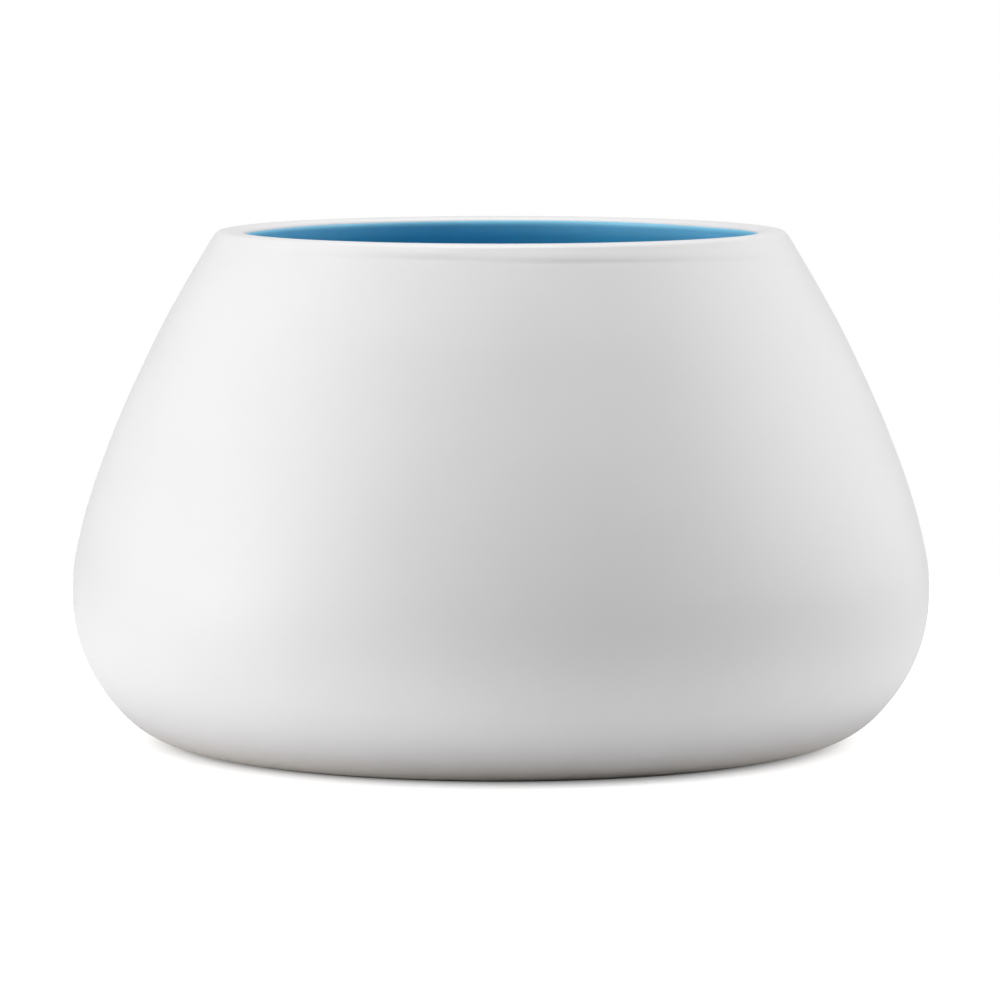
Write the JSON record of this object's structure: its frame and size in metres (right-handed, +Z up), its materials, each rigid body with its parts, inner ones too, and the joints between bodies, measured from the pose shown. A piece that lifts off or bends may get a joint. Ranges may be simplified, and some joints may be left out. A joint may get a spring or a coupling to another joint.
{
  "type": "yarn bowl",
  "caption": "Squat round stoneware bowl that narrows to a rolled lip, matt white outside and blue inside, holding a ball of yarn while it unwinds.",
  "frame": {"origin": "on the table under the middle of the bowl, level with the pads' undersides", "axes": "+Z up along the bowl's axis of revolution; +X and +Y lie on the table, each midway between two pads"},
  "size_m": [0.17, 0.17, 0.1013],
  "materials": {
    "fired_clay": "bare fired stoneware, fine and dry",
    "matt_white_glaze": "silky matt white glaze",
    "blue_glaze": "satin blue glaze",
    "silicone": "cloudy translucent silicone"
  },
  "bodies": {
    "root": {"stoneware_body": "fired_clay", "outer_matt_glaze": "matt_white_glaze", "inner_blue_glaze": "blue_glaze", "base_pad_1": "silicone", "base_pad_2": "silicone", "base_pad_3": "silicone", "base_pad_4": "silicone"}
  },
  "joints": []
}
